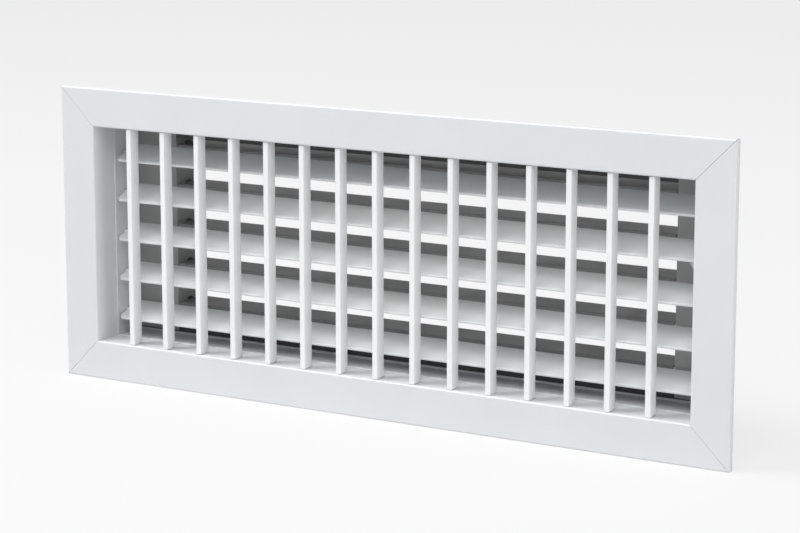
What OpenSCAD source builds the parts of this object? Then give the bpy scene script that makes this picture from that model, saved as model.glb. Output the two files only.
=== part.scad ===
// Double deflection supply grille with a multi-blade damper behind it.
// A mitred frame of one extrusion carries upright front blades and level rear blades.
// The origin is the middle of the opening, on the wall plane at the flange's back.
// X runs across the grille, Y runs back into the duct, Z is up. Sizes are in millimetres.

/* [Opening] */
// Clear width between the frame's side walls
opening_w = 450; // [380:10:520]
// Clear height between the frame's top and bottom walls
opening_h = 150; // [140:2:158]

/* [Frame] */
// Width of the flange that shows round the opening
flange_w = 26.5; // [25:0.5:34]
// Depth of the flange from its face to the wall plane
flange_d = 5; // [4.5:0.5:7]
// Thickness of the flange's face
face_t = 1.6; // [1.2:0.1:1.8]
// Thickness of the flange's outer lip
lip_t = 1.5; // [1.2:0.1:2]
// Radius along the flange's front edges
edge_r = 1.2; // [0.5:0.1:1.4]
// Thickness of the neck's walls
neck_t = 1.5; // [1.3:0.1:2]
// Gap left on each side of a mitred joint
mitre_gap = 0.1; // [0.05:0.05:0.2]
// Height of the low middle rib inside the neck
mid_rib_h = 0.5; // [0.4:0.1:0.8]
// Width of the middle rib, at the noses of the rear blades
mid_rib_w = 1.5; // [1:0.1:2]
// Height of the rib that the damper stops against
stop_rib_h = 1.2; // [1:0.1:1.4]
// Width of that rib
stop_rib_w = 1; // [0.8:0.1:1.5]
// Length of the damper that sits inside the neck
nest_d = 8.5; // [8:0.5:10]

/* [Corner keys] */
// Distance from the opening's edge to the middle of the key channel
key_c = 15; // [14:0.5:16]
// Width of a corner key's legs
key_w = 9; // [8:0.5:10]
// Thickness of a corner key
key_t = 2.2; // [2:0.1:2.3]
// Length of a corner key's legs from its outer corner
key_leg = 36; // [30:1:45]
// Thickness of the ribs beside the keys
key_rib_t = 1.2; // [1:0.1:1.5]
// How far the channel's hooks reach over the keys
key_hook_w = 1; // [0.8:0.1:1.4]
// Radius of the grub screws in the keys
grub_r = 2; // [1.5:0.1:2.2]
// Sliding gap between a key and its channel
key_gap = 0.1; // [0.05:0.05:0.15]

/* [Front blades] */
// Distance of the first and last front blade from the side walls
front_edge = 29; // [26:0.5:32]
// Depth of a front blade from nose to tail
front_chord = 10.5; // [9:0.5:13]
// Width of a front blade's flat nose
front_nose_t = 3.7; // [3:0.1:4.2]
// Radius of the nose's two corners
front_nose_r = 0.5; // [0.3:0.1:0.8]
// Radius of a front blade's round tail
front_tail_r = 1.2; // [0.9:0.1:1.4]
// How far the noses stand behind the flange's face
front_recess = 1.3; // [1:0.1:3]
// Gap between a front blade's end and the frame
front_end_gap = 0.4; // [0.3:0.1:0.8]

/* [Rear blades] */
// Distance of the outer rear blades from the top and bottom walls, before the row is lowered
rear_edge = 19.2; // [18.6:0.2:21]
// How far the whole row sits below the middle
rear_drop = 2.7; // [0:0.1:3.5]
// Depth of a rear blade from nose to tail
rear_chord = 26; // [22:0.5:27]
// Radius of a rear blade's round nose
rear_nose_r = 1.05; // [0.9:0.05:1.3]
// Radius of a rear blade's tail
rear_tail_r = 0.6; // [0.5:0.05:0.8]
// Cut across a rear blade's corners seen from above
rear_corner = 2.5; // [1.5:0.5:4]
// Gap between a rear blade's end and the frame
rear_end_gap = 1.5; // [1.3:0.1:2]
// How far the noses of the rear blades are turned down
rear_tilt = 19; // [0:1:30]
// Gap between the front blades and the sweep of the rear blades
rows_gap = 10.4; // [8:0.2:14]
// How far behind the front of that sweep the middle rib starts
mid_rib_in = 1.4; // [0.5:0.1:3]
// Gap between the sweep of the rear blades and the stop rib
stop_gap = 0.8; // [0.6:0.1:1.5]

/* [Pivots] */
// Radius of the blades' pivot pins
pin_r = 1.2; // [1:0.1:1.4]
// Running gap between a pin and its bush
pin_gap = 0.05; // [0.03:0.01:0.08]
// Wall thickness of a bush's body
bush_wall = 1.1; // [0.9:0.1:1.4]
// Thickness of a bush's head
bush_head_t = 0.9; // [0.6:0.1:1.2]
// How far a bush's head stands out past its body
bush_head_w = 1; // [0.8:0.1:1.5]
// Gap between a pressed-in piece and its hole
press_gap = 0.02; // [0.01:0.01:0.03]

/* [Fixing holes] */
// Radius of the screw holes in the neck's sides
fix_hole_r = 2.25; // [1.75:0.25:2.5]
// How far the fixing holes lie behind the pivots of the rear blades
fix_back = 8.7; // [8:0.1:9]

/* [Damper frame] */
// Gap between the damper and the neck
damper_fit = 0.7; // [0.5:0.1:1]
// Sheet thickness of the damper's frame
sheet_t = 1.2; // [1:0.1:1.5]
// Width of a side channel's front lip
side_lip_w = 33; // [31:0.5:36]
// Width of a side channel's rear lip
side_rear_lip_w = 12; // [11:0.5:14]
// Height of the top rail's front lip
top_lip_h = 10.5; // [8:0.5:11]
// Height of the rear lip on both rails
rear_lip_h = 3; // [2:0.5:3.5]
// Reach of a side channel's end tabs
tab_w = 16; // [14:0.5:18]
// Radius of the rivets through the tabs
rivet_r = 1.6; // [1.2:0.1:2]
// Radius of the screws that hold the damper in the neck
screw_r = 1.6; // [1.4:0.1:1.9]
// Distance of those screws from the middle
screw_x = 150; // [120:5:170]

/* [Damper blades] */
// How far the damper's row of blades sits above the rear blades
damper_lift = 3.7; // [3:0.1:4.5]
// Gap between two neighbouring damper blades when they are closed
damper_gap = 1; // [0.8:0.1:2]
// Gap between the sweep of the damper blades and the frame's front and rear
sweep_gap = 0.3; // [0.2:0.1:0.6]
// Thickness of a damper blade
damper_t = 1.2; // [1:0.1:1.5]
// Height of the lip folded down along a damper blade's front edge
damper_lip_h = 2; // [1.5:0.1:2.5]
// Radius of the tube along a damper blade
damper_tube_r = 2.2; // [2.1:0.1:2.6]
// Radius of a damper blade's stub shafts
stub_r = 1.9; // [1.7:0.1:2]
// Gap between a damper blade's end and its bush
damper_end_gap = 0.4; // [0.3:0.1:0.6]
// How far the damper blades turn from open to closed
damper_turn = 85; // [70:1:88]

/* [Damper linkage] */
// Distance from a crank's shaft to its pin
crank_r = 6; // [5:0.1:6.5]
// Thickness of a crank
crank_t = 2; // [1.5:0.1:2.5]
// Radius of a crank's hub
hub_r = 3.6; // [3.2:0.1:4]
// Radius of the crank pins
crank_pin_r = 1.25; // [1:0.05:1.4]
// Thickness of the link bar
link_t = 1.5; // [1.2:0.1:1.8]
// Gap beside a pin in its slot
slot_gap = 0.3; // [0.25:0.05:0.4]
// Side gap between the stacked pieces of the linkage
stack_gap = 0.3; // [0.2:0.05:0.4]
// How far the operator turns from open to closed
operator_turn = 90; // [80:1:100]
// Radius of the operator's spindle
spindle_r = 2.5; // [2:0.1:3]
// Radius of the operator's slotted head
head_r = 4; // [3.5:0.1:4.5]
// Thickness of the operator's head
head_t = 0.8; // [0.6:0.1:0.9]
// Thickness of the operator's disc
disc_t = 1.8; // [1.5:0.1:2.2]

/* [Hidden] */
$fn = 48;
eps = 0.01;
front_count = 15;
rear_count = 5;
face_y = -flange_d;
half_w = opening_w / 2;
half_h = opening_h / 2;

// Corner keys' grub screws
grub_proud = 0.2;
grub_hex_r = grub_r * 0.55;
grub_hex_d = 1.4;

// Places of the two rows of blades
front_pitch = (opening_w - 2 * front_edge) / (front_count - 1);
rear_pitch = (opening_h - 2 * rear_edge) / (rear_count - 1);
front_y = face_y + front_recess + front_chord / 2;
rear_y = front_y + front_chord / 2 + rows_gap + rear_chord / 2;
mid_rib_y = rear_y - rear_chord / 2 + mid_rib_in;
stop_rib_y = rear_y + rear_chord / 2 + stop_gap;
function front_x(i) = (i - (front_count + 1) / 2) * front_pitch;
function rear_z(i) = (i - (rear_count + 1) / 2) * rear_pitch - rear_drop;

// Bushes and pins
bore_r = pin_r + pin_gap;
bush_r = bore_r + bush_wall;
bush_len = neck_t + bush_head_t;
pin_end = 0.3;
pin_root = 1;
boss_len = 5;

// Fixing holes, between the outer rear blades where a screw's head clears them
fix_y = rear_y + fix_back;
fix_z = 1.5 * rear_pitch;

// Damper frame
damper_y = stop_rib_y + stop_rib_w;
neck_d = damper_y + nest_d;
leaf_cover = 0.1;
damper_chord = rear_pitch - damper_gap;
leaf_top = damper_tube_r + leaf_cover;
damper_sweep_r = norm([damper_chord / 2, leaf_top]);
damper_axis_y = damper_y + sweep_gap + damper_sweep_r;
damper_d = 2 * (sweep_gap + damper_sweep_r);
damper_back = damper_y + damper_d;
damper_hw = half_w - damper_fit;
damper_hh = half_h - damper_fit;
web_x = damper_hw - side_lip_w;
bottom_lip_h = damper_hh + damper_z(1) - damper_chord / 2 - damper_fit;
tab_d = 8;
rivet_gap = 1;
rivet_y = neck_d + rivet_gap + tab_d / 2;
rivet_x = web_x + sheet_t + tab_w / 2;
rail_step_y = rivet_y + tab_d / 2;
screw_y = damper_y + nest_d / 2;
screw_tip = 1.5;
screw_head_t = 2;
screw_head_flat = 1.3;
screw_slot_w = 0.7;
rivet_head_t = 0.9;
rivet_tail_t = 0.8;
function damper_z(i) = rear_z(i) + damper_lift;
function turns_up(i) = i % 2 == 1;

// Damper linkage, from the web outwards
stub_bush_r = stub_r + pin_gap + bush_wall;
stub_head_t = 0.7;
stub_end = 0.5;
damper_end_x = web_x - stub_head_t - damper_end_gap;
crank_x = web_x + sheet_t + stack_gap;
crank_end_r = 1.9;
link_x = crank_x + crank_t + stack_gap;
crank_pin_end = link_x + link_t + stub_end;
half_turn = damper_turn / 2;
link_travel = 2 * crank_r * sin(half_turn);
link_rise = link_travel / 2;
slot_half_h = crank_pin_r + slot_gap;
link_edge = 2.2;
link_hw = crank_r + slot_half_h + link_edge;

// Operator with an eccentric pin
ecc_r = link_travel / 2 / sin(operator_turn / 2);
ecc_pin_r = 1.4;
disc_rim = 0.7;
disc_r = ecc_r + ecc_pin_r + disc_rim;
operator_x = link_x + link_t + stack_gap + disc_r;
operator_z = damper_z(3) + rear_pitch / 2;
head_lift = 0.05;
head_slot_w = 1;
head_slot_d = 0.5;
disc_y = damper_y + sheet_t + head_lift * 4;
link_tab_y = disc_y + disc_t + stack_gap * 3;
link_front = max(link_hw, damper_axis_y - link_tab_y);
link_tab_hh = ecc_pin_r + slot_gap + link_edge;
link_tab_end = operator_x + 1;

// Looks
white = [0.93, 0.94, 0.95];
nylon = [0.86, 0.87, 0.87];
dark_nylon = [0.16, 0.16, 0.17];
zinc = [0.62, 0.64, 0.66];
grey = [0.36, 0.37, 0.37];
steel = [0.5, 0.51, 0.53];

FRONT_BLADES = [for (i = [1:front_count]) str("front_blade_", i)];
REAR_BLADES = [for (i = [1:rear_count]) str("rear_blade_", i)];
DAMPER_BLADES = [for (i = [1:rear_count]) str("damper_blade_", i)];
DAMPER_CRANKS = [for (i = [1:rear_count]) str("damper_crank_", i)];

// Turns a flat outline drawn as depth and height into a bar of the given length along X
module bar_x(length) {
    rotate([90, 0, 90])
        translate([0, 0, -length / 2])
            linear_extrude(length) children();
}

// Turns a flat outline drawn as X and Z into a plate from depth y0 of thickness t
module plate_y(y0, t) {
    translate([0, y0 + t, 0])
        rotate([90, 0, 0])
            linear_extrude(t) children();
}

// Cylinder along X from x0 to x1
module rod_x(r, x0, x1) {
    translate([x0, 0, 0])
        rotate([0, 90, 0])
            cylinder(r = r, h = x1 - x0);
}

// Cylinder along Y from y0 to y1
module rod_y(r, y0, y1) {
    translate([0, y1, 0])
        rotate([90, 0, 0])
            cylinder(r = r, h = y1 - y0);
}

// Flat slot of half height r between two points on the first axis
module slot_2d(a, b, r) {
    translate([a, -r]) square([b - a, 2 * r]);
    translate([a, 0]) circle(r);
    translate([b, 0]) circle(r);
}

// Piece that rounds the corner of a square outline when it is taken away
module corner_cut(r) {
    difference() {
        translate([-eps, -eps]) square(r + eps);
        translate([r, r]) circle(r);
    }
}

// Direction, in degrees, in which both circles touch their common tangent on the right
function tangent_dir(c1, r1, c2, r2) =
    let (d = c2 - c1)
    atan2(d[1], d[0]) - acos((r1 - r2) / norm(d));
function on_circle(c, r, a) = c + r * [cos(a), sin(a)];

// Tapered blade section, nose at the front, with round corners and a round tail
module blade_section(chord, nose_half, nose_r, tail_r) {
    nose = [nose_half - nose_r, -chord / 2 + nose_r];
    tail = [0, chord / 2 - tail_r];
    a = tangent_dir(nose, nose_r, tail, tail_r);
    p = on_circle(nose, nose_r, a);
    q = on_circle(tail, tail_r, a);
    front = -chord / 2;
    translate(nose) circle(nose_r);
    translate([-nose[0], nose[1]]) circle(nose_r);
    translate(tail) circle(tail_r);
    polygon([
        [nose[0], front], p, q, tail,
        [-q[0], q[1]], [-p[0], p[1]], [-nose[0], front]
    ]);
}

// Section of the frame's extrusion: depth first, then distance out from the opening
module frame_section() {
    difference() {
        union() {
            translate([face_y, 0]) square([face_t, flange_w]);
            translate([face_y, flange_w - lip_t]) square([flange_d, lip_t]);
            translate([face_y, 0]) square([flange_d + neck_d, neck_t]);
        }
        translate([face_y, 0]) corner_cut(edge_r);
        translate([face_y, flange_w]) mirror([0, 1]) corner_cut(edge_r);
    }
    for (side = [-1, 1])
        translate([0, key_c]) mirror([0, side < 0 ? 1 : 0]) key_rib();
    translate([mid_rib_y, -mid_rib_h]) square([mid_rib_w, mid_rib_h + neck_t / 2]);
    translate([stop_rib_y, -stop_rib_h]) square([stop_rib_w, stop_rib_h + neck_t / 2]);
}

// One hooked rib of the corner key's channel, drawn outward from the channel's middle
module key_rib() {
    inside = key_w / 2 + key_gap;
    hook_t = flange_d - face_t - key_t - key_gap;
    translate([face_y + face_t / 2, inside]) square([flange_d - face_t / 2, key_rib_t]);
    translate([-hook_t, inside - key_hook_w]) square([hook_t, key_hook_w + key_rib_t]);
}

// Straight frame member with mitred ends, inner face at z = 0 and outward up
module member(inner_len) {
    over = flange_w + 2;
    under = stop_rib_h + 2;
    half = inner_len / 2 - mitre_gap * sqrt(2);
    intersection() {
        bar_x(inner_len + 2 * over + 2) frame_section();
        plate_y(face_y - 1, flange_d + neck_d + 2)
            polygon([
                [-half + under, -under], [half - under, -under],
                [half + over, over], [-half - over, over]
            ]);
    }
}

// Holes along the top or bottom member, for the front bushes and the damper's screws
module cross_member() {
    difference() {
        translate([0, 0, half_h]) member(opening_w);
        for (i = [1:front_count])
            translate([front_x(i), front_y, half_h - 1])
                cylinder(r = bush_r + press_gap, h = neck_t + 2);
        for (side = [-1, 1])
            translate([side * screw_x, screw_y, half_h - 1])
                cylinder(r = screw_r + pin_gap, h = neck_t + 2);
    }
}

// Side member with holes for the rear bushes and for fixing screws
module side_member() {
    difference() {
        rotate([0, 90, 0])
            translate([0, 0, half_w]) member(opening_h);
        for (i = [1:rear_count])
            translate([0, rear_y, rear_z(i)])
                rod_x(bush_r + press_gap, half_w - 1, half_w + neck_t + 1);
        for (side = [-1, 1])
            translate([0, fix_y, side * fix_z])
                rod_x(fix_hole_r, half_w - 1, half_w + neck_t + 1);
    }
}

module frame_top() {
    color(white) cross_member();
}

module frame_bottom() {
    color(white) mirror([0, 0, 1]) cross_member();
}

module frame_right() {
    color(white) side_member();
}

module frame_left() {
    color(white) mirror([1, 0, 0]) side_member();
}

// Repeats a shape at the frame's four corners by mirroring it
module at_corners() {
    for (mx = [0, 1], mz = [0, 1])
        mirror([mx, 0, 0]) mirror([0, 0, mz])
            translate([half_w + key_c, 0, half_h + key_c]) children();
}

// Places of the two grub screws of one key
module at_key_screws() {
    along = key_w / 2 - key_leg * 0.7;
    translate([along, 0, 0]) children();
    translate([0, 0, along]) children();
}

module corner_keys() {
    end = key_w / 2;
    color(zinc)
        at_corners()
            difference() {
                plate_y(face_y + face_t, key_t)
                    polygon([
                        [end, end], [end - key_leg, end], [end - key_leg, -end],
                        [-end, -end], [-end, end - key_leg], [end, end - key_leg]
                    ]);
                at_key_screws()
                    rod_y(grub_r + press_gap, face_y + face_t - 1, 1);
            }
}

module corner_key_screws() {
    seat = face_y + face_t;
    grub_end = seat + key_t + grub_proud;
    color(steel)
        at_corners()
            at_key_screws()
                difference() {
                    rod_y(grub_r, seat, grub_end);
                    rotate([90, 0, 0])
                        translate([0, 0, -grub_end - 1])
                            cylinder(r = grub_hex_r, h = grub_hex_d + 1, $fn = 6);
                }
}

// Flanged bush standing on the plane z = 0, its head at the top
module bush(body_r, hole_r, body_t, head_t) {
    difference() {
        union() {
            cylinder(r = body_r, h = body_t + head_t);
            translate([0, 0, body_t]) cylinder(r = body_r + bush_head_w, h = head_t);
        }
        translate([0, 0, -1]) cylinder(r = hole_r, h = body_t + head_t + 2);
    }
}

module front_bush_row() {
    color(nylon)
        for (i = [1:front_count])
            translate([front_x(i), front_y, half_h])
                bush(bush_r, bore_r, neck_t, bush_head_t);
}

module rear_bush_row() {
    color(nylon)
        for (i = [1:rear_count])
            translate([half_w, rear_y, rear_z(i)])
                rotate([0, 90, 0])
                    bush(bush_r, bore_r, neck_t, bush_head_t);
}

// Front blade i with a pivot pin at each end
module front_blade(i) {
    half = half_h - front_end_gap;
    color(white)
        translate([front_x(i), front_y, 0]) {
            translate([0, 0, -half])
                linear_extrude(2 * half)
                    blade_section(front_chord, front_nose_t / 2, front_nose_r, front_tail_r);
            for (end = [0, 1])
                mirror([0, 0, end])
                    translate([0, 0, half - pin_root])
                        cylinder(r = pin_r, h = pin_root + front_end_gap + bush_len + pin_end);
        }
}

// Outline of a rear blade seen from above, with its corners cut and its long edges set outward
module rear_outline() {
    over = 1;
    end = half_w - rear_end_gap;
    shoulder = end - rear_corner - over;
    edge = rear_chord / 2 + over;
    side = rear_chord / 2 - rear_corner;
    polygon([
        [-end, -side], [-shoulder, -edge], [shoulder, -edge], [end, -side],
        [end, side], [shoulder, edge], [-shoulder, edge], [-end, side]
    ]);
}

// Rear blade i with a pivot pin at each end
module rear_blade(i) {
    half = half_w - rear_end_gap;
    color(white)
        translate([0, rear_y, rear_z(i)])
            rotate([rear_tilt, 0, 0]) {
                intersection() {
                    bar_x(2 * half + 2)
                        rotate(-90)
                            blade_section(rear_chord, rear_nose_r, rear_nose_r, rear_tail_r);
                    translate([0, 0, -2 * rear_nose_r])
                        linear_extrude(4 * rear_nose_r) rear_outline();
                }
                for (side = [0, 1])
                    mirror([side, 0, 0])
                        rod_x(pin_r, half - boss_len, half_w + bush_len + pin_end);
            }
}

// Outline of a damper rail seen from above: its rear corners are cut back
module rail_outline() {
    rear_hw = web_x + side_rear_lip_w;
    polygon([
        [-damper_hw, damper_y], [damper_hw, damper_y],
        [damper_hw, rail_step_y], [rear_hw, rail_step_y],
        [rear_hw, damper_back], [-rear_hw, damper_back],
        [-rear_hw, rail_step_y], [-damper_hw, rail_step_y]
    ]);
}

// Top or bottom rail of the damper, with a front and a rear lip that hang down
module damper_rail(front_lip_h) {
    color(grey)
        difference() {
            union() {
                translate([0, 0, damper_hh - sheet_t])
                    linear_extrude(sheet_t) rail_outline();
                translate([-web_x + eps, damper_y, damper_hh - front_lip_h])
                    cube([2 * web_x - 2 * eps, sheet_t, front_lip_h]);
                translate([-web_x + eps, damper_back - sheet_t, damper_hh - rear_lip_h])
                    cube([2 * web_x - 2 * eps, sheet_t, rear_lip_h]);
            }
            for (side = [-1, 1]) {
                translate([side * screw_x, screw_y, damper_hh - sheet_t - 1])
                    cylinder(r = screw_r + pin_gap, h = sheet_t + 2);
                translate([side * rivet_x, rivet_y, damper_hh - sheet_t - 1])
                    cylinder(r = rivet_r + press_gap, h = sheet_t + 2);
            }
        }
}

module damper_rail_top() {
    damper_rail(top_lip_h);
}

module damper_rail_bottom() {
    mirror([0, 0, 1]) damper_rail(bottom_lip_h);
}

// Side channel of the damper: web, wide front lip, narrow rear lip and two end tabs
module damper_side() {
    hh = damper_hh - sheet_t;
    difference() {
        union() {
            translate([web_x, damper_y, -hh]) cube([sheet_t, damper_d, 2 * hh]);
            translate([web_x, damper_y, -hh]) cube([side_lip_w, sheet_t, 2 * hh]);
            translate([web_x, damper_back - sheet_t, -hh])
                cube([side_rear_lip_w, sheet_t, 2 * hh]);
            for (end = [0, 1])
                mirror([0, 0, end])
                    translate([web_x, rivet_y - tab_d / 2, hh - sheet_t])
                        cube([sheet_t + tab_w, tab_d, sheet_t]);
        }
        for (i = [1:rear_count])
            translate([0, damper_axis_y, damper_z(i)])
                rod_x(stub_bush_r + press_gap, web_x - 1, web_x + sheet_t + 1);
        for (side = [-1, 1])
            translate([rivet_x, rivet_y, side * hh - 2 * sheet_t])
                cylinder(r = rivet_r + press_gap, h = 4 * sheet_t);
    }
}

module damper_side_left() {
    color(grey) mirror([1, 0, 0]) damper_side();
}

module damper_side_right() {
    color(grey)
        difference() {
            damper_side();
            translate([operator_x, 0, operator_z])
                rod_y(spindle_r + pin_gap, damper_y - 1, damper_y + sheet_t + 1);
        }
}

// Bushes of the damper's shafts, pressed into both webs from the air side
module damper_bushes() {
    color(dark_nylon)
        for (i = [1:rear_count], side = [0, 1])
            mirror([side, 0, 0])
                translate([web_x + sheet_t, damper_axis_y, damper_z(i)])
                    rotate([0, -90, 0])
                        bush(stub_bush_r, stub_r + pin_gap, sheet_t, stub_head_t);
}

module damper_rivets() {
    low = damper_hh - 2 * sheet_t - rivet_tail_t;
    color(steel)
        for (mx = [0, 1], mz = [0, 1])
            mirror([mx, 0, 0]) mirror([0, 0, mz])
                translate([rivet_x, rivet_y, 0]) {
                    translate([0, 0, low]) cylinder(r = rivet_r, h = damper_hh - low + eps);
                    translate([0, 0, low]) cylinder(r = 1.5 * rivet_r, h = rivet_tail_t);
                    translate([0, 0, damper_hh])
                        cylinder(r1 = 2 * rivet_r, r2 = rivet_r, h = rivet_head_t);
                }
}

// Cross-recessed pan screw whose head stands on the plane z = 0 and points up
module pan_screw(length) {
    difference() {
        union() {
            translate([0, 0, -length]) cylinder(r = screw_r, h = length + eps);
            cylinder(r = 2 * screw_r, h = screw_head_flat);
            translate([0, 0, screw_head_flat])
                cylinder(r1 = 2 * screw_r, r2 = 1.4 * screw_r, h = screw_head_t - screw_head_flat);
        }
        for (turn = [0, 90])
            translate([0, 0, screw_head_t])
                rotate([0, 0, turn])
                    cube([2 * screw_r, screw_slot_w, screw_head_flat], center = true);
    }
}

// Screws through the neck into the damper's rails
module damper_screws() {
    seat = half_h + neck_t;
    color(steel)
        for (mx = [0, 1], mz = [0, 1])
            mirror([mx, 0, 0]) mirror([0, 0, mz])
                translate([screw_x, screw_y, seat])
                    pan_screw(seat - damper_hh + sheet_t + screw_tip);
}

// Section of a damper blade: a thin flat leaf over a tube, with a lip down along its front edge
module damper_section() {
    front = -damper_chord / 2;
    leaf_mid = leaf_top - damper_t / 2;
    translate([0, leaf_mid])
        slot_2d(front + damper_t / 2, -front - damper_t / 2, damper_t / 2);
    translate([front, leaf_mid - damper_t / 2 - damper_lip_h])
        square([damper_t, damper_t / 2 + damper_lip_h]);
    circle(damper_tube_r);
}

// Damper blade i with a stub shaft at each end
module damper_blade(i) {
    inner = damper_end_x;
    color(grey)
        translate([0, damper_axis_y, damper_z(i)]) {
            bar_x(2 * inner) damper_section();
            rod_x(stub_r, inner - stub_end, crank_x + crank_t);
            rod_x(stub_r, -web_x - sheet_t - stub_end, stub_end - inner);
        }
}

// Where the pin of crank i stands at rest, seen along the shaft: depth, then height
function crank_pin_at(i) =
    (turns_up(i) ? [-1, 1] : [1, 1]) * [[cos(half_turn), 0], [0, sin(half_turn)]] * crank_r;

// Outline of a crank whose arm tapers from the hub to its pin, as depth and height
module crank_outline(pin) {
    hub = [0, 0];
    a = tangent_dir(hub, hub_r, pin, crank_end_r);
    b = 2 * atan2(pin[1], pin[0]) - a;
    difference() {
        union() {
            circle(hub_r);
            translate(pin) circle(crank_end_r);
            polygon([
                on_circle(hub, hub_r, a), on_circle(pin, crank_end_r, a),
                on_circle(pin, crank_end_r, b), on_circle(hub, hub_r, b)
            ]);
        }
        circle(stub_r + press_gap);
    }
}

module damper_crank(i) {
    pin = crank_pin_at(i);
    color(zinc)
        translate([0, damper_axis_y, damper_z(i)]) {
            translate([crank_x + crank_t / 2, 0, 0])
                bar_x(crank_t) crank_outline(pin);
            translate([0, pin[0], pin[1]])
                rod_x(crank_pin_r, crank_x + stub_end, crank_pin_end);
        }
}

// Outline of the link bar with one slot for each crank pin, as depth and height
module link_outline() {
    low = damper_z(1) + link_rise - slot_half_h - link_edge;
    high = damper_z(rear_count) + link_rise + slot_half_h + link_edge;
    near = crank_r * cos(half_turn);
    difference() {
        translate([-link_front, low]) square([link_front + link_hw, high - low]);
        for (i = [1:rear_count])
            translate([0, damper_z(i) + link_rise])
                mirror([turns_up(i) ? 1 : 0, 0])
                    slot_2d(near - slot_gap, crank_r + slot_gap, slot_half_h);
    }
}

// Bar that joins the cranks, with a slotted tab for the operator's eccentric pin
module damper_link_bar() {
    tab_z = operator_z + link_rise;
    color(zinc) {
        translate([link_x + link_t / 2, damper_axis_y, 0])
            bar_x(link_t) link_outline();
        plate_y(link_tab_y, link_t)
            difference() {
                translate([link_x + link_t / 2, tab_z - link_tab_hh])
                    square([link_tab_end - link_x - link_t / 2, 2 * link_tab_hh]);
                translate([0, tab_z])
                    slot_2d(operator_x - ecc_r - slot_gap,
                        operator_x - ecc_r * cos(operator_turn / 2) + slot_gap,
                        ecc_pin_r + slot_gap);
            }
    }
}

// Screwdriver-turned operator: slotted head, spindle, disc and eccentric pin
module damper_operator() {
    a = operator_turn / 2;
    head_y = damper_y - head_t;
    color(zinc)
        translate([operator_x, 0, operator_z]) {
            difference() {
                rod_y(head_r, head_y, damper_y - head_lift);
                translate([-head_r - 1, head_y - 1, -head_slot_w / 2])
                    cube([2 * head_r + 2, head_slot_d + 1, head_slot_w]);
            }
            rod_y(spindle_r, damper_y - head_t / 4, disc_y + eps);
            rod_y(disc_r, disc_y, disc_y + disc_t);
            translate([-ecc_r * cos(a), 0, ecc_r * sin(a)])
                rod_y(ecc_pin_r, disc_y + eps, link_tab_y + link_t + stub_end);
        }
}

frame_top();
frame_bottom();
frame_left();
frame_right();
corner_keys();
corner_key_screws();
front_bush_row();  // front_bushes_top
mirror([0, 0, 1]) front_bush_row();  // front_bushes_bottom
rear_bush_row();  // rear_bushes_right
mirror([1, 0, 0]) rear_bush_row();  // rear_bushes_left
for (i = [1:front_count])
    front_blade(i);
for (i = [1:rear_count]) {
    rear_blade(i);
    damper_blade(i);
    damper_crank(i);
}
damper_rail_top();
damper_rail_bottom();
damper_side_left();
damper_side_right();
damper_bushes();
damper_rivets();
damper_screws();
damper_link_bar();
damper_operator();
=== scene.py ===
"""Looks of the double deflection supply grille: materials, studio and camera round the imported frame."""

from math import cos, radians, sin

import bpy
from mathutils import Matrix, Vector


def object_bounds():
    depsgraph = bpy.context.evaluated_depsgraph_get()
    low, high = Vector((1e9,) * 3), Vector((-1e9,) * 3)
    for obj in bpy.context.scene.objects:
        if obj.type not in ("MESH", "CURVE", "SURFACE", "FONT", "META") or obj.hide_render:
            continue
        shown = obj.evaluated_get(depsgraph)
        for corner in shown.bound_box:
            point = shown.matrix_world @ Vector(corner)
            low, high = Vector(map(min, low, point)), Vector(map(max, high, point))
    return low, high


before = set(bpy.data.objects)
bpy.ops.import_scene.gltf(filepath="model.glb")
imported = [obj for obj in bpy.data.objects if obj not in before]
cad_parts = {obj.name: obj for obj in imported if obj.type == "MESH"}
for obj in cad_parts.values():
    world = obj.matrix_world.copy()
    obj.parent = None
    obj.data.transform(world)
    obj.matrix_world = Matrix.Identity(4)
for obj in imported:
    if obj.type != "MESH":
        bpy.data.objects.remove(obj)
cad_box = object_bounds()

MM = 0.001

# Camera fitted to the eight corners of the grille's frame in the photograph
CAMERA_AT = (853.1 * MM, -1391.2 * MM, 317.5 * MM)
# Degrees that it is turned to the left and dipped
CAMERA_TURN = 31.0
CAMERA_DIP = 11.03
LENS_MM = 115.7
SENSOR_MM = 36.0

# Studio: even light comes from the viewer's side and hardly any from behind the wall.
# It fades between these two directions, given as the depth part of a unit vector.
AMBIENT_FRONT = 0.42
AMBIENT_REAR = 0.10
FADE_FROM = -0.6
FADE_TO = 0.5
# Soft boxes: degrees round to the right of the front, degrees up, and watts
SOFTBOX_DISTANCE = 2.5
SOFTBOX_SIZE = 1.2
SOFTBOXES = {
    "key_softbox": (20, 47, 16.5),
    "right_softbox": (80, 8, 21.0),
    "left_softbox": (-60, 60, 47.0),
}
FLOOR_SIZE = 12.0
FLOOR_COLOUR = (0.7, 0.7, 0.7)
FLOOR_ROUGHNESS = 0.9
FLOOR_SHINE = 0.1
# Share of the floor that the camera sees as plain white, so that the rest keeps the shadow
FLOOR_WHITE_SHARE = 0.78

# Paint and metal, as linear colours
FRAME_WHITE = (0.74, 0.757, 0.772)
BLADE_WHITE = (0.90, 0.91, 0.915)
REAR_WHITE = (0.87, 0.885, 0.885)
NYLON = (0.72, 0.73, 0.72)
DARK_NYLON = (0.05, 0.05, 0.052)
# Sides: the damper's grey paint lightened above the leaves' grey as painted light for the light that
# falls on the side channels from the right
SIDE_GREY_PAINTED_LIGHT = (0.38, 0.385, 0.38)
LEAF_GREY = (0.24, 0.244, 0.24)
# Rails: the damper's grey paint darkened to near black as painted shade for the shadow that the top and
# bottom rails lie in
RAIL_GREY_PAINTED_SHADE = (0.08, 0.081, 0.08)
ZINC = (0.58, 0.60, 0.61)
STEEL = (0.45, 0.46, 0.48)
ALLOY = (0.62, 0.63, 0.65)

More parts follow.
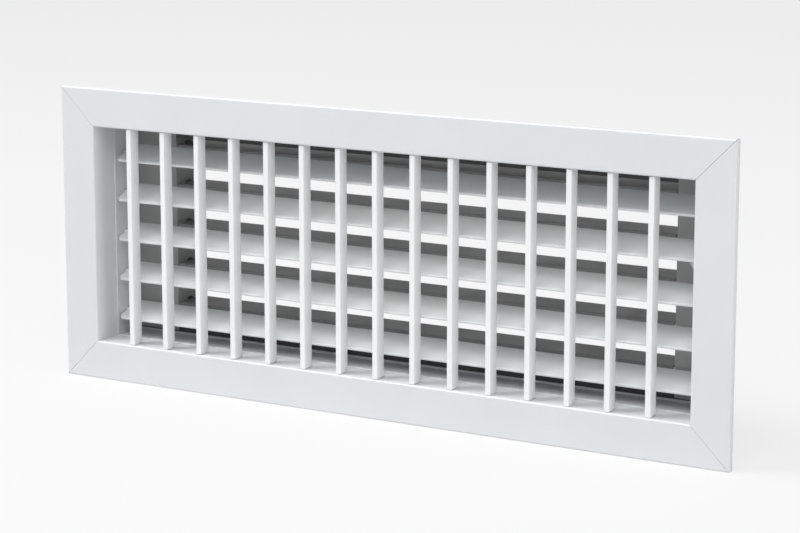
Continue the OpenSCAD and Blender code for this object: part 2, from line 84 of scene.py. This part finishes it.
# Fineness of the patterns in the finishes, as noise features to a metre
COAT_CLOUDS = 14
COAT_RIPPLE = 35
COAT_GLOSS = 60
COAT_PEEL = 900
METAL_PATCHES = 40
METAL_GRAIN = 300
NYLON_TONE = 220
NYLON_GLOSS = 400
NYLON_GRAIN = 1500
# Heights of their bumps
RIPPLE_HEIGHT = 0.3 * MM
PEEL_HEIGHT = 0.04 * MM
GRAIN_HEIGHT = 0.03 * MM
# Stretches of a noise's values that tone and gloss run across
TONE_SPAN = (0.35, 0.65)
GLOSS_SPAN = (0.3, 0.7)


def tinted(colour, factor):
    """The colour, lighter or darker by a factor, as RGBA."""
    return tuple(min(1.0, channel * factor) for channel in colour) + (1.0,)


class Finish:
    """A material whose colour, roughness and relief follow noise patterns."""

    def __init__(self, name):
        self.material = bpy.data.materials.new(name)
        self.material.use_nodes = True
        self.tree = self.material.node_tree
        self.shader = self.tree.nodes["Principled BSDF"]
        self.place = self.tree.nodes.new("ShaderNodeTexCoord").outputs["Object"]

    def link(self, source, target):
        self.tree.links.new(source, target)

    def noise(self, scale, detail=2.0, roughness=0.5):
        texture = self.tree.nodes.new("ShaderNodeTexNoise")
        texture.inputs["Scale"].default_value = scale
        texture.inputs["Detail"].default_value = detail
        texture.inputs["Roughness"].default_value = roughness
        self.link(self.place, texture.inputs["Vector"])
        return texture.outputs["Fac"]

    def colour_from(self, pattern, low, high):
        """Base colour that runs from low to high as the pattern does."""
        ramp = self.tree.nodes.new("ShaderNodeValToRGB")
        for element, position, colour in zip(ramp.color_ramp.elements, TONE_SPAN, (low, high)):
            element.position = position
            element.color = colour
        self.link(pattern, ramp.inputs["Fac"])
        self.link(ramp.outputs["Color"], self.shader.inputs["Base Color"])

    def roughness_from(self, pattern, low, high):
        """Roughness that runs from low to high as the pattern does."""
        span = self.tree.nodes.new("ShaderNodeMapRange")
        span.inputs["From Min"].default_value = GLOSS_SPAN[0]
        span.inputs["From Max"].default_value = GLOSS_SPAN[1]
        span.inputs["To Min"].default_value = low
        span.inputs["To Max"].default_value = high
        self.link(pattern, span.inputs["Value"])
        self.link(span.outputs["Result"], self.shader.inputs["Roughness"])

    def bumped_by(self, pattern, height, strength, under=None):
        """Relief from the pattern, on top of any that lies under it."""
        bump = self.tree.nodes.new("ShaderNodeBump")
        bump.inputs["Strength"].default_value = strength
        bump.inputs["Distance"].default_value = height
        self.link(pattern, bump.inputs["Height"])
        if under is not None:
            self.link(under, bump.inputs["Normal"])
        self.link(bump.outputs["Normal"], self.shader.inputs["Normal"])
        return bump.outputs["Normal"]


def powder_coat(name, colour, rough=0.42, clouding=0.012, shine=0.5):
    """Satin powder coat: a fine orange peel on a slow ripple, faint clouds of tone and uneven gloss."""
    coat = Finish(name)
    clouds = coat.noise(COAT_CLOUDS, detail=3)
    coat.colour_from(clouds, tinted(colour, 1 - clouding), tinted(colour, 1 + clouding))
    coat.roughness_from(coat.noise(COAT_GLOSS, detail=4), rough - 0.04, rough + 0.06)
    coat.shader.inputs["Specular IOR Level"].default_value = shine
    peel = coat.bumped_by(coat.noise(COAT_PEEL), PEEL_HEIGHT, strength=0.5)
    coat.bumped_by(coat.noise(COAT_RIPPLE, detail=1), RIPPLE_HEIGHT, strength=0.15, under=peel)
    return coat.material


def bare_metal(name, colour, rough):
    """Bare or plated metal: dull patches and a fine grain."""
    metal = Finish(name)
    metal.shader.inputs["Metallic"].default_value = 1.0
    metal.colour_from(metal.noise(METAL_PATCHES, detail=3), tinted(colour, 0.8), tinted(colour, 1.05))
    grain = metal.noise(METAL_GRAIN, detail=4, roughness=0.6)
    metal.roughness_from(grain, rough - 0.08, rough + 0.12)
    metal.bumped_by(grain, GRAIN_HEIGHT, strength=0.6)
    return metal.material


def moulded_plastic(name, colour):
    """Nylon: a soft sheen with a fine matt grain."""
    nylon = Finish(name)
    nylon.colour_from(nylon.noise(NYLON_TONE), tinted(colour, 0.96), tinted(colour, 1.02))
    nylon.roughness_from(nylon.noise(NYLON_GLOSS), 0.42, 0.55)
    nylon.bumped_by(nylon.noise(NYLON_GRAIN), GRAIN_HEIGHT, strength=0.5)
    nylon.shader.inputs["Subsurface Weight"].default_value = 0.05
    nylon.shader.inputs["Subsurface Scale"].default_value = 2 * MM
    return nylon.material


def dress(nodes, material):
    """Gives the named CAD nodes this material."""
    for name in nodes:
        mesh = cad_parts[name].data
        mesh.materials.clear()
        mesh.materials.append(material)


def row(stem):
    """The CAD nodes that are named by this stem and a number."""
    return [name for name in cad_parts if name.rpartition("_")[0] == stem and name[-1].isdigit()]


def dress_frame():
    lengths = ["frame_top", "frame_bottom", "frame_left", "frame_right"]
    dress(lengths, powder_coat("frame_coat", FRAME_WHITE))
    dress(row("front_blade"), powder_coat("front_blade_coat", BLADE_WHITE, rough=0.38))
    dress(row("rear_blade"), powder_coat("rear_blade_coat", REAR_WHITE, rough=0.40, shine=0.35))
    bushes = ["front_bushes_top", "front_bushes_bottom", "rear_bushes_left", "rear_bushes_right"]
    dress(bushes, moulded_plastic("bush_nylon", NYLON))
    dress(["corner_keys"], bare_metal("key_alloy", ALLOY, rough=0.45))


def damper_coat(name, grey):
    """Plain matt paint on the damper's sheet metal."""
    return powder_coat(name, grey, rough=0.55, clouding=0.05, shine=0.25)


def dress_damper():
    # The side channels wear the damper paint lightened as painted light
    dress(["damper_side_left", "damper_side_right"], damper_coat("damper_side_coat_painted_light", SIDE_GREY_PAINTED_LIGHT))
    # The rails wear the damper paint darkened as painted shade
    dress(["damper_rail_top", "damper_rail_bottom"], damper_coat("damper_rail_coat_painted_shade", RAIL_GREY_PAINTED_SHADE))
    dress(row("damper_blade"), damper_coat("damper_leaf_coat", LEAF_GREY))
    dress(["damper_bushes"], moulded_plastic("damper_bush_nylon", DARK_NYLON))
    linkage = row("damper_crank") + ["damper_link_bar", "damper_operator"]
    dress(linkage, bare_metal("linkage_zinc", ZINC, rough=0.4))


def dress_fasteners():
    steel = bare_metal("screw_steel", STEEL, rough=0.3)
    dress(["corner_key_screws", "damper_rivets", "damper_screws"], steel)


def background_share(tree):
    """1 for rays that should see the plain white background: camera, gloss and glass."""
    path = tree.nodes.new("ShaderNodeLightPath")
    share = path.outputs["Is Camera Ray"]
    for name in ("Is Glossy Ray", "Is Transmission Ray"):
        most = tree.nodes.new("ShaderNodeMath")
        most.operation = "MAXIMUM"
        tree.links.new(share, most.inputs[0])
        tree.links.new(path.outputs[name], most.inputs[1])
        share = most.outputs[0]
    return share


def ambient_by_direction(tree):
    """Strength of the soft light: full from the viewer's side, faint from behind the grille."""
    direction = tree.nodes.new("ShaderNodeTexCoord")
    parts = tree.nodes.new("ShaderNodeSeparateXYZ")
    tree.links.new(direction.outputs["Generated"], parts.inputs[0])
    strength = tree.nodes.new("ShaderNodeMapRange")
    strength.interpolation_type = "SMOOTHSTEP"
    strength.inputs["From Min"].default_value = FADE_FROM
    strength.inputs["From Max"].default_value = FADE_TO
    strength.inputs["To Min"].default_value = AMBIENT_FRONT
    strength.inputs["To Max"].default_value = AMBIENT_REAR
    tree.links.new(parts.outputs["Y"], strength.inputs["Value"])
    return strength.outputs["Result"]


def make_world():
    world = bpy.data.worlds.new("studio")
    bpy.context.scene.world = world
    world.use_nodes = True
    tree = world.node_tree
    ambient = tree.nodes["Background"]
    ambient.inputs["Color"].default_value = (1, 1, 1, 1)
    tree.links.new(ambient_by_direction(tree), ambient.inputs["Strength"])
    white = tree.nodes.new("ShaderNodeBackground")
    white.inputs["Color"].default_value = (1, 1, 1, 1)
    mix = tree.nodes.new("ShaderNodeMixShader")
    tree.links.new(background_share(tree), mix.inputs["Fac"])
    tree.links.new(ambient.outputs[0], mix.inputs[1])
    tree.links.new(white.outputs[0], mix.inputs[2])
    tree.links.new(mix.outputs[0], tree.nodes["World Output"].inputs["Surface"])


def make_floor():
    """Pale floor under the flange's lower edge, which keeps the grille's shadow."""
    bpy.ops.mesh.primitive_plane_add(size=FLOOR_SIZE, location=(0, 0, cad_box[0][2]))
    floor = bpy.context.object
    floor.name = "floor"
    material = bpy.data.materials.new("floor_pale")
    material.use_nodes = True
    tree = material.node_tree
    paint = tree.nodes["Principled BSDF"]
    paint.inputs["Base Color"].default_value = FLOOR_COLOUR + (1,)
    paint.inputs["Roughness"].default_value = FLOOR_ROUGHNESS
    paint.inputs["Specular IOR Level"].default_value = FLOOR_SHINE
    white = tree.nodes.new("ShaderNodeEmission")
    scaled = tree.nodes.new("ShaderNodeMath")
    scaled.operation = "MULTIPLY"
    scaled.inputs[1].default_value = FLOOR_WHITE_SHARE
    tree.links.new(background_share(tree), scaled.inputs[0])
    mix = tree.nodes.new("ShaderNodeMixShader")
    tree.links.new(scaled.outputs[0], mix.inputs["Fac"])
    tree.links.new(paint.outputs[0], mix.inputs[1])
    tree.links.new(white.outputs[0], mix.inputs[2])
    tree.links.new(mix.outputs[0], tree.nodes["Material Output"].inputs["Surface"])
    floor.data.materials.append(material)


def soft_light(name, turn, rise, power):
    """Square area lamp that faces the grille from the given angles."""
    lamp = bpy.data.lights.new(name, "AREA")
    lamp.size = SOFTBOX_SIZE
    lamp.energy = power
    box = bpy.data.objects.new(name, lamp)
    bpy.context.scene.collection.objects.link(box)
    level = cos(radians(rise))
    aside = Vector((sin(radians(turn)) * level, -cos(radians(turn)) * level, sin(radians(rise))))
    box.location = aside * SOFTBOX_DISTANCE
    box.rotation_euler = (-aside).to_track_quat("-Z", "Y").to_euler()


def make_lights():
    for name, (turn, rise, power) in SOFTBOXES.items():
        soft_light(name, turn, rise, power)


def make_camera():
    data = bpy.data.cameras.new("camera")
    data.sensor_width = SENSOR_MM
    data.lens = LENS_MM
    camera = bpy.data.objects.new("camera", data)
    bpy.context.scene.collection.objects.link(camera)
    camera.location = CAMERA_AT
    camera.rotation_euler = (radians(90 - CAMERA_DIP), 0, radians(CAMERA_TURN))
    bpy.context.scene.camera = camera


dress_frame()
dress_damper()
dress_fasteners()
make_world()
make_floor()
make_lights()
make_camera()
bpy.context.scene.view_settings.view_transform = "Standard"
